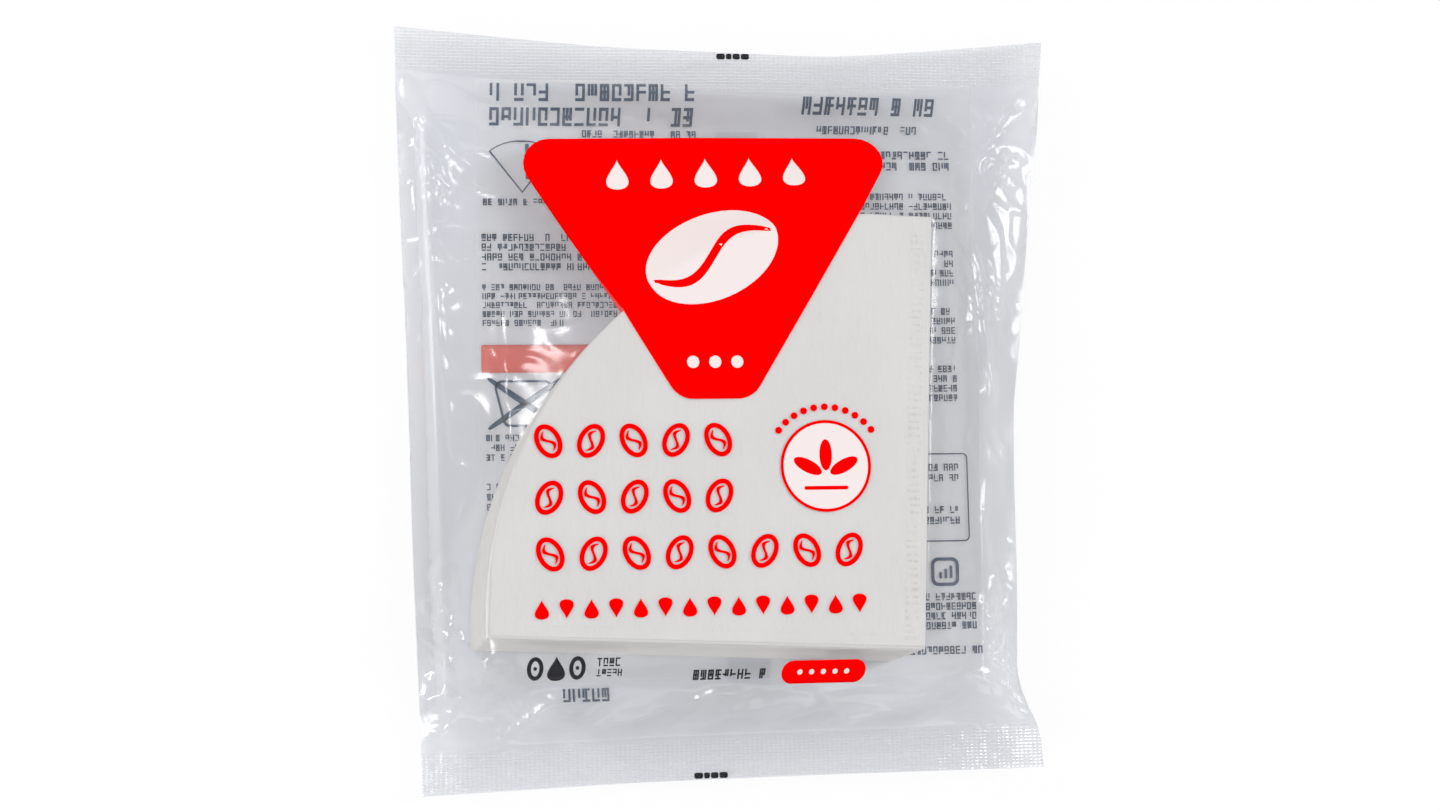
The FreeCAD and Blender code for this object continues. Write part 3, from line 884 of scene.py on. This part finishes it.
def filled(loops, spacing):
    """Triangles that fill the loops, holes left open, with inner points on an even lattice.

    The loops are constraints of a Delaunay triangulation, and a triangle stays where a ray from its middle
    crosses the loops an odd number of times.
    """
    points = [tuple(point) for loop in loops for point in loop]
    edges = []
    first = 0
    for loop in loops:
        count = len(loop)
        edges += [(first + at, first + (at + 1) % count) for at in range(count)]
        first += count
    outline = np.array(points)
    limits = zip(outline.min(axis=0), outline.max(axis=0))
    columns, rows = (np.arange(low, high, spacing) for low, high in limits)
    lattice = np.stack(np.meshgrid(columns, rows), axis=2).reshape(-1, 2)
    lattice = lattice[odd_crossings(lattice, loops)]
    points += [tuple(point) for point in lattice]
    found = delaunay_2d_cdt([Vector(point) for point in points], edges, [], 0, 1e-7)
    vertices = np.array([tuple(point) for point in found[0]])
    triangles = np.array(found[2])
    middle = vertices[triangles].mean(axis=1)
    return vertices, triangles[odd_crossings(middle, loops)]


def odd_crossings(points, loops):
    """Whether each point lies inside the loops, by counting crossings to its right."""
    inside = np.zeros(len(points), dtype=bool)
    for loop in loops:
        start = np.asarray(loop)
        end = np.roll(start, -1, axis=0)
        for (x0, y0), (x1, y1) in zip(start, end):
            if y0 == y1:
                continue
            cross = (points[:, 1] > min(y0, y1)) & (points[:, 1] <= max(y0, y1))
            at = x0 + (points[:, 1] - y0) / (y1 - y0) * (x1 - x0)
            inside ^= cross & (points[:, 0] < at)
    return inside


def printed(name, shapes, material, side="front", spacing=1.2 * MM, lift=None, nodes=(), walled=True):
    """Piece of thin ink: each shape's loops filled, laid on the film and given a little thickness."""
    size = sizes()
    lift = size.ink_lift if lift is None else lift
    all_points = []
    all_faces = []
    first = 0
    for loops in shapes:
        flat, triangles = filled(loops, spacing)
        level = film_level(flat[:, 0], flat[:, 1], side) + lift
        all_points.append(np.column_stack([flat, level]))
        all_faces.append(triangles + first)
        first += len(flat)
    points = np.concatenate(all_points)
    faces = np.concatenate(all_faces)
    corners = points[faces]
    normal = np.cross(corners[:, 1] - corners[:, 0], corners[:, 2] - corners[:, 0])[:, 2]
    up = 1 if side == "front" else -1
    faces = np.where((normal * up < 0)[:, None], faces[:, ::-1], faces)
    piece = mesh_piece(name, points, faces, material)
    if walled:
        thick = piece.modifiers.new("ink_thickness", "SOLIDIFY")
        thick.thickness = 0.02 * MM
        thick.offset = -1
    for node in nodes:
        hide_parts(node)
    return piece


WEDGE_X, WEDGE_TOP, WEDGE_FOOT = -8.0 * MM, 73.0 * MM, -1.0 * MM
WEDGE_TOP_HALF, WEDGE_FOOT_HALF = 55.0 * MM, 10.0 * MM
BEAN_Y, BEAN_TILT = 38 * MM, math.radians(24)
DROPS_Y, DOTS_Y = 62.5 * MM, 9 * MM
RING_X, RING_Y = 21.5 * MM, -19.4 * MM
STROKE = 1.3 * MM
ROWS = (                       # height of each row, its beans, its length, the height of a bean
    (-12.0, 5, 57.0, 9.6),
    (-27.0, 5, 57.0, 9.6),
    (-42.0, 8, 92.0, 9.6),
)
ROW_LEFT = -59.0 * MM


def wedge_drops(height):
    """Row of drops near the top of the large red field."""
    return [drop(WEDGE_X + place * 12 * MM, DROPS_Y, height) for place in range(-2, 3)]


def wedge_dots(width):
    """Row of dots near the foot of the large red field."""
    return [dot(WEDGE_X + place * 6 * MM, DOTS_Y, width, 40) for place in range(-1, 2)]


def wedge_shapes():
    """Large red field with a bean, drops and a row of dots left bare in it."""
    corners = ((WEDGE_X - WEDGE_TOP_HALF, WEDGE_TOP), (WEDGE_X - WEDGE_FOOT_HALF, WEDGE_FOOT),
               (WEDGE_X + WEDGE_FOOT_HALF, WEDGE_FOOT), (WEDGE_X + WEDGE_TOP_HALF, WEDGE_TOP))
    loops = [rounded_polygon(corners, 7 * MM)]
    loops.append(ellipse(WEDGE_X, BEAN_Y, 38 * MM, 24 * MM, BEAN_TILT, 72))
    loops.append(bean_slit(WEDGE_X, BEAN_Y, 35 * MM, 24 * MM, BEAN_TILT, 2.6 * MM))
    return [loops + wedge_drops(8.5 * MM) + wedge_dots(3.4 * MM)]


def bean_row_shapes():
    """Rows of beans in outline, each with its slit."""
    shapes = []
    for row, (y, count, length, tall) in enumerate(ROWS):
        pitch = length / count * MM
        for place in range(count):
            x = ROW_LEFT + (place + 0.5) * pitch
            turn = math.radians(62 if (place + row) % 2 else 118)
            long_side, short_side = tall * MM, 0.72 * tall * MM
            shapes.append([ellipse(x, y * MM, long_side, short_side, turn),
                           ellipse(x, y * MM, long_side - 2 * STROKE, short_side - 2 * STROKE, turn)])
            shapes.append([bean_slit(x, y * MM, long_side - 2.9 * STROKE, short_side, turn, 0.8 * STROKE)])
    return shapes


def small_row_shapes():
    """One row of small full drops."""
    pitch = 92.0 / 14 * MM
    return [[drop(ROW_LEFT + (place + 0.5) * pitch, -56.5 * MM, 5.2 * MM, math.radians(180 * (place % 2)))]
            for place in range(14)]


def ring_shapes():
    """Ring with three leaves in it and a row of dots over it."""
    x, y = RING_X, RING_Y
    shapes = [[dot(x, y, 24.8 * MM, 64), dot(x, y, 23.2 * MM, 64)]]
    for turn in (-62, 0, 62):
        angle = math.radians(turn)
        middle = (x - 5.6 * MM * math.sin(angle), y + 5.6 * MM * math.cos(angle) - 2.6 * MM)
        shapes.append([ellipse(*middle, 3.4 * MM, 8.4 * MM, angle)])
    shapes.append([rounded_box(x - 6 * MM, y - 6.4 * MM, x + 6 * MM, y - 5.4 * MM, 0.45 * MM)])
    for place in range(11):
        angle = math.radians(90 + (place - 5) * 10.5)
        shapes.append([dot(x + 16 * MM * math.cos(angle), y + 16 * MM * math.sin(angle), 1.9 * MM)])
    return shapes


def dashes(left, right, y, tall, seed, gap=1.1 * MM, words=(2.5, 8.0)):
    """Row of short bars of seeded lengths, as a line of print seen from afar."""
    draw = np.random.default_rng(seed)
    shapes = []
    x = left
    while x < right - 1.5 * MM:
        length = min(draw.uniform(*words) * MM, right - x)
        shapes.append([rounded_box(x, y - tall / 2, x + length, y + tall / 2, tall * 0.3, 3)])
        x += length + gap
    return shapes


class PACK_OT_front_print(bpy.types.Operator):
    """Red and black print on the front film"""
    bl_idname = "pack.front_print"
    bl_label = "Front print"

    def execute(self, context):
        red = ink("red_gravure_ink", "red_ink", roughness=0.6, gloss=0.0)
        pill = [rounded_box(9 * MM, -77.6 * MM, 32 * MM, -71.4 * MM, 3 * MM),
                *[dot((14 + 3.2 * place) * MM, -74.5 * MM, 1.5 * MM) for place in range(5)]]
        shapes = wedge_shapes() + bean_row_shapes() + small_row_shapes() + ring_shapes() + [pill]
        printed("front_red_print", shapes, red, spacing=0.9 * MM, nodes=["red_print"])
        white = ink("white_gravure_ink", "bright_white", 0.5, 0.1)
        bean = ellipse(WEDGE_X, BEAN_Y, 38.6 * MM, 24.6 * MM, BEAN_TILT, 72)
        disc = dot(RING_X, RING_Y, 24 * MM, 64)
        label = rounded_box(10 * MM, -76.8 * MM, 31 * MM, -72.2 * MM, 2 * MM)
        shapes = [[loop] for loop in (bean, *wedge_dots(4 * MM), *wedge_drops(9.2 * MM), disc, label)]
        printed("front_white_print", shapes, white, spacing=0.8 * MM, lift=0.16 * MM)
        black = ink("black_gravure_ink", "black_ink")
        lines = [marks(-41 * MM, -33 * MM, -70.6 * MM, 2.2 * MM, 6),
                 marks(-41 * MM, -33 * MM, -73.4 * MM, 1.9 * MM, 7),
                 marks(-15 * MM, 5 * MM, -74.6 * MM, 2.7 * MM, 8)]
        lines = np.concatenate(lines)
        printed_boxes("front_black_lines", lines, black, "front", sizes().ink_lift)
        y = -72 * MM
        shapes = [[drop(-51.8 * MM, y, 6.6 * MM)]]
        for x in (-57.4 * MM, -46.2 * MM):
            shapes.append([ellipse(x, y, 4.4 * MM, 6.2 * MM), ellipse(x, y, 2.2 * MM, 4.0 * MM)])
            shapes.append([dot(x, y, 1.0 * MM, 12)])
        for x, end in ((-8.3, -1), (2.2, 1)):
            bow = sizes().top_bow if end > 0 else sizes().bottom_bow
            stand_out = float(bow_of(np.array([x * MM]), sizes().top_half, bow)[0])
            y = end * (sizes().end_length + stand_out - 1.1 * MM)
            shapes += dashes((x - 4.7) * MM, (x + 4.7) * MM, y, 1.6 * MM, 9, 0.3 * MM, (1.2, 2.6))
        printed("front_black_print", shapes, black, nodes=["black_print"])
        return {"FINISHED"}


PANEL_LEFT, PANEL_RIGHT, PANEL_TOP, PANEL_FOOT = -70 * MM, 71 * MM, 91 * MM, -76 * MM
PANEL_COVER = 0.16


def marks(left, right, y, tall, seed):
    """Line of small print as boxes: each sign is a few strokes, drawn at random in its own cell.

    Gives an array of boxes with their left, lower, right and upper edge. Some cells stay empty.
    """
    draw = np.random.default_rng(seed)
    cell = 0.74 * tall
    count = max(int((right - left) / cell), 1)
    kept = draw.random(count) > 0.13
    x = left + cell * np.arange(count)[kept]
    boxes = []
    width, thick = 0.78 * cell, 0.17 * tall
    stroke = 0.5 * thick
    for upright in (0.0, 0.5, 1.0):
        chosen = x[draw.random(len(x)) < (0.78 if upright != 0.5 else 0.4)]
        middle = chosen + stroke + (width - 2 * stroke) * upright
        low = y - tall / 2 + draw.choice([0.0, 0.3], len(chosen)) * tall
        steps = 5 if tall > 3 * MM else 1
        for step in range(steps):
            rise = (y + tall / 2 - low) / steps
            edges = [middle - stroke, low + rise * step, middle + stroke, low + rise * (step + 1)]
            boxes.append(np.stack(edges, axis=1))
    for level in (0.08, 0.5, 0.92):
        chosen = x[draw.random(len(x)) < 0.5]
        middle = np.full(len(chosen), y - tall / 2 + tall * level)
        boxes.append(np.stack([chosen, middle - stroke, chosen + width, middle + stroke], axis=1))
    return np.concatenate(boxes)


def column(left, right, top, foot, step, tall, seed, gap=5):
    """Block of lines of small print, with a shorter line and a space every few lines."""
    lines = []
    count = int((top - foot) / step)
    for line in range(count):
        if line % (gap + 1) == gap:
            continue
        end = right if line % (gap + 1) != gap - 1 else left + 0.6 * (right - left)
        lines.append(marks(left, end, top - line * step, tall, seed + line))
    return np.concatenate(lines)


def printed_boxes(name, boxes, material, side, lift):
    """Piece of thin ink made of boxes, each corner laid on the film."""
    corners = boxes[:, [[0, 1], [2, 1], [2, 3], [0, 3]]]
    level = film_level(corners[:, :, 0].ravel(), corners[:, :, 1].ravel(), side).reshape(-1, 4)
    points = np.concatenate([corners, (level + lift)[:, :, None]], axis=2).reshape(-1, 3)
    faces = np.arange(len(points)).reshape(-1, 4)
    faces = faces if side == "front" else faces[:, ::-1]
    piece = mesh_piece(name, points, faces, material, smooth=False)
    return piece


def outline(points, stroke):
    """Loop and its inner copy, moved in by the stroke along the lines to the middle."""
    middle = points.mean(axis=0)
    reach = np.hypot(*(points - middle).T)[:, None]
    return [points, middle + (points - middle) * (1 - stroke / reach)]


def slate_shapes():
    """Plain signs on the back panel: a folded sheet, a crossed cup, a frame and a mark of three bars."""
    angle = np.linspace(math.radians(52), math.radians(128), 24)
    arc = np.stack([-57 + 15 * np.cos(angle), 60 + 15 * np.sin(angle)], axis=1)
    fan = np.concatenate([[[-57, 60]], arc])
    shapes = [outline(fan * MM, 0.55 * MM)]
    shapes.append([rounded_box(-56 * MM, 64 * MM, -55 * MM, 74 * MM, 0.3 * MM)])
    cup = np.array([[-66, 7.5], [-49, 7.5], [-52, -5.5], [-63, -5.5]]) * MM
    shapes.append(outline(rounded_polygon(cup, 2 * MM), 0.8 * MM))
    shapes.append([ellipse(-47.5 * MM, 2.5 * MM, 5 * MM, 6 * MM),
                   ellipse(-47.5 * MM, 2.5 * MM, 3.4 * MM, 4.4 * MM)])
    for turn in (0.60, -0.60):
        shapes.append([bean_slit(-57 * MM, 1 * MM, 25 * MM, 0.0, turn, 1.7 * MM)])
    frame_box = rounded_box(27 * MM, -39 * MM, 68 * MM, -14 * MM, 1.5 * MM)
    shapes.append([frame_box, rounded_box(27.35 * MM, -38.65 * MM, 67.65 * MM, -14.35 * MM, 1.2 * MM)])
    sign = rounded_box(56.5 * MM, -51.5 * MM, 64.5 * MM, -43.5 * MM, 2 * MM)
    shapes.append([sign, rounded_box(57.4 * MM, -50.6 * MM, 63.6 * MM, -44.4 * MM, 1.3 * MM)])
    for place in range(3):
        x = (58.8 + 1.5 * place) * MM
        shapes.append([rounded_box(x, -49.4 * MM, x + 0.8 * MM, (-47.6 + 0.9 * place) * MM, 0.25 * MM)])
    return shapes


def slate_lines():
    """Lines of small print on the back panel, as boxes."""
    return np.concatenate([
        marks(-66 * MM, -5 * MM, 87.6 * MM, 4.6 * MM, 31),
        marks(-66 * MM, -7 * MM, 81.4 * MM, 4.6 * MM, 33),
        marks(-40 * MM, -6 * MM, 77.0 * MM, 2.0 * MM, 35),
        column(-68 * MM, -33 * MM, 57.5 * MM, 52 * MM, 2.8 * MM, 1.9 * MM, 37),
        column(-68.5 * MM, -33 * MM, 47.5 * MM, 36 * MM, 2.75 * MM, 2.0 * MM, 40),
        column(-68.5 * MM, -30 * MM, 33.5 * MM, 20 * MM, 2.5 * MM, 1.7 * MM, 46),
        column(-68 * MM, -46 * MM, -8.5 * MM, -17 * MM, 2.7 * MM, 1.8 * MM, 52),
        column(-68 * MM, -28 * MM, -22 * MM, -66 * MM, 2.8 * MM, 1.8 * MM, 56, 6),
        marks(22 * MM, 63 * MM, 84.5 * MM, 4.4 * MM, 81),
        marks(27 * MM, 57 * MM, 78.6 * MM, 2.2 * MM, 82),
        column(30 * MM, 67 * MM, 71.5 * MM, 62 * MM, 3.2 * MM, 2.3 * MM, 84, 3),
        column(28 * MM, 67 * MM, 59.5 * MM, -9 * MM, 2.75 * MM, 1.9 * MM, 90),
        column(30 * MM, 66 * MM, -18 * MM, -37 * MM, 3.0 * MM, 2.0 * MM, 130, 3),
        column(28 * MM, 70 * MM, -54.5 * MM, -66 * MM, 2.7 * MM, 2.0 * MM, 140, 9),
        marks(14 * MM, 71 * MM, -69.5 * MM, 2.2 * MM, 150),
        marks(-48 * MM, -34 * MM, -79.5 * MM, 3.6 * MM, 160),
    ])


class PACK_OT_back_print(bpy.types.Operator):
    """Pale panel on the back film with its lines of print, seen through the pack"""
    bl_idname = "pack.back_print"
    bl_label = "Back print"

    def execute(self, context):
        white = thin_ink("thin_white_ink", "white_ink", PANEL_COVER)
        panel = [[rounded_box(PANEL_LEFT, PANEL_FOOT, PANEL_RIGHT, PANEL_TOP, 0.5 * MM)]]
        printed("back_white_panel", panel, white, "back", 2.0 * MM, 0.04 * MM,
                ["back_panel_print"], walled=False)
        slate = ink("slate_gravure_ink", "slate_ink")
        printed("back_slate_signs", slate_shapes(), slate, "back", 2.0 * MM, 0.12 * MM)
        printed_boxes("back_slate_lines", slate_lines(), slate, "back", 0.12 * MM)
        salmon = ink("salmon_gravure_ink", "salmon_ink")
        bar = [[rounded_box(-69 * MM, 9.6 * MM, -30 * MM, 17.4 * MM, 0.4 * MM)]]
        printed("back_salmon_print", bar, salmon, "back", 2.0 * MM, 0.08 * MM)
        return {"FINISHED"}


# Studio

EYE = Vector((-0.1099, -0.070, 0.691))
AIM = Vector((-0.0047, -0.0012, 0.014))
ROLL = math.radians(-1.33)
FOCAL_PIXELS = 2510
PHOTO_WIDTH = 1440
SENSOR = 36.0
SKY_STRENGTH = 0.36
FLOOR_GLOW = 0.86              # share of white light in the floor where the camera sees it bare
LAMPS = (                      # name, place, width, length and power of each lamp
    ("key_softbox", (-0.4, -0.15, 1.3), 0.4, 0.4, 4.8),
    ("rear_softbox", (0.05, 1.05, 1.2), 0.6, 0.6, 1.2),
    ("left_front_strip", (-1.0, -0.6, 0.55), 0.16, 0.5, 4.0),
    ("left_rear_strip", (-0.95, 0.75, 0.55), 0.16, 0.5, 4.0),
    ("right_softbox", (0.9, 0.2, 0.9), 0.28, 0.9, 6.5),
    ("front_fill", (0.1, -1.2, 0.6), 0.9, 0.6, 2.0),
)


class PACK_OT_stage(bpy.types.Operator):
    """Pale floor, soft lamps, even sky and the camera"""
    bl_idname = "pack.stage"
    bl_label = "Stage"

    def execute(self, context):
        material, output = new_material("pale_floor")
        path = add(material, "ShaderNodeLightPath").outputs
        place = add(material, "ShaderNodeTexCoord")
        grain = add(material, "ShaderNodeTexNoise", vector=place.outputs["Object"], scale=40.0)
        bump = add(material, "ShaderNodeBump", height=grain.outputs["Fac"], strength=0.02, distance=MM)
        surface = add(material, "ShaderNodeBsdfPrincipled", normal=bump.outputs["Normal"],
                      base_color=colour("floor"), roughness=0.9, specular_ior_level=0.1)
        glow = add(material, "ShaderNodeEmission", strength=1.0)
        bare = add(material, "ShaderNodeMath", (path["Transparent Depth"], 0.5), operation="LESS_THAN")
        seen = add(material, "ShaderNodeMath", (path["Is Camera Ray"], bare.outputs["Value"]),
                   operation="MULTIPLY")
        shown = add(material, "ShaderNodeMath", (seen.outputs["Value"], path["Is Glossy Ray"]),
                    operation="MAXIMUM")
        share = add(material, "ShaderNodeMath", (shown.outputs["Value"], FLOOR_GLOW), operation="MULTIPLY")
        mix = add(material, "ShaderNodeMixShader",
                  (share.outputs["Value"], surface.outputs[0], glow.outputs[0]))
        finish_material(material, output, mix)
        mesh = bpy.data.meshes.new("floor")
        mesh.from_pydata([(-3, -3, 0), (3, -3, 0), (3, 3, 0), (-3, 3, 0)], [], [(0, 1, 2, 3)])
        mesh.materials.append(material)
        floor = bpy.data.objects.new("floor", mesh)
        floor.location.z = -0.0002
        context.scene.collection.objects.link(floor)
        self.sky(context)
        for lamp in LAMPS:
            self.lamp(context, *lamp)
        self.camera(context)
        context.scene.view_settings.view_transform = "Standard"
        return {"FINISHED"}

    def sky(self, context):
        """Even white sky."""
        world = bpy.data.worlds.new("studio_sky")
        world.use_nodes = True
        nodes = world.node_tree.nodes
        nodes["Background"].inputs["Color"].default_value = (1, 1, 1, 1)
        nodes["Background"].inputs["Strength"].default_value = SKY_STRENGTH
        context.scene.world = world

    def lamp(self, context, name, place, width, length, power):
        """Area lamp turned to the pack."""
        data = bpy.data.lights.new(name, "AREA")
        data.shape = "RECTANGLE"
        data.size = width
        data.size_y = length
        data.energy = power
        lamp = bpy.data.objects.new(name, data)
        lamp.location = place
        lamp.rotation_euler = (Vector((0, 0, 0)) - Vector(place)).to_track_quat("-Z", "Y").to_euler()
        context.scene.collection.objects.link(lamp)

    def camera(self, context):
        """Camera at the photograph's angle."""
        data = bpy.data.cameras.new("camera")
        data.sensor_width = SENSOR
        data.lens = FOCAL_PIXELS / PHOTO_WIDTH * SENSOR
        camera = bpy.data.objects.new("camera", data)
        forward = (AIM - EYE).normalized()
        right = forward.cross(Vector((0, 1, 0))).normalized()
        up = right.cross(forward)
        side = right * math.cos(ROLL) + up * math.sin(ROLL)
        top = up * math.cos(ROLL) - right * math.sin(ROLL)
        turn = Matrix((side, top, -forward)).transposed()
        camera.matrix_world = Matrix.Translation(EYE) @ turn.to_4x4()
        context.scene.collection.objects.link(camera)
        context.scene.camera = camera


OPERATORS = (PACK_OT_film, PACK_OT_front_filter, PACK_OT_stack, PACK_OT_front_print, PACK_OT_back_print,
             PACK_OT_stage)


class PACK_PT_panel(bpy.types.Panel):
    """Buttons for the pieces of the pack"""
    bl_idname = "PACK_PT_panel"
    bl_label = "Filter pack"
    bl_space_type = "VIEW_3D"
    bl_region_type = "UI"
    bl_category = "Filter pack"

    def draw(self, context):
        for operator in OPERATORS:
            self.layout.operator(operator.bl_idname)


CLASSES = (PackSizes, PackColours, *OPERATORS, PACK_PT_panel)


def register():
    """Register the classes and the scene's groups of properties."""
    for each in CLASSES:
        bpy.utils.register_class(each)
    bpy.types.Scene.pack_sizes = bpy.props.PointerProperty(type=PackSizes)
    bpy.types.Scene.pack_colours = bpy.props.PointerProperty(type=PackColours)


def unregister():
    """Take the classes and the groups of properties away again."""
    del bpy.types.Scene.pack_colours
    del bpy.types.Scene.pack_sizes
    for each in reversed(CLASSES):
        bpy.utils.unregister_class(each)


def main():
    """Build the pack and its stage, and note the sizes of both models."""
    register()
    bpy.ops.pack.film()
    bpy.ops.pack.front_filter()
    bpy.ops.pack.stack()
    bpy.ops.pack.front_print()
    bpy.ops.pack.back_print()
    bpy.ops.pack.stage()


if __name__ == "__main__":
    main()
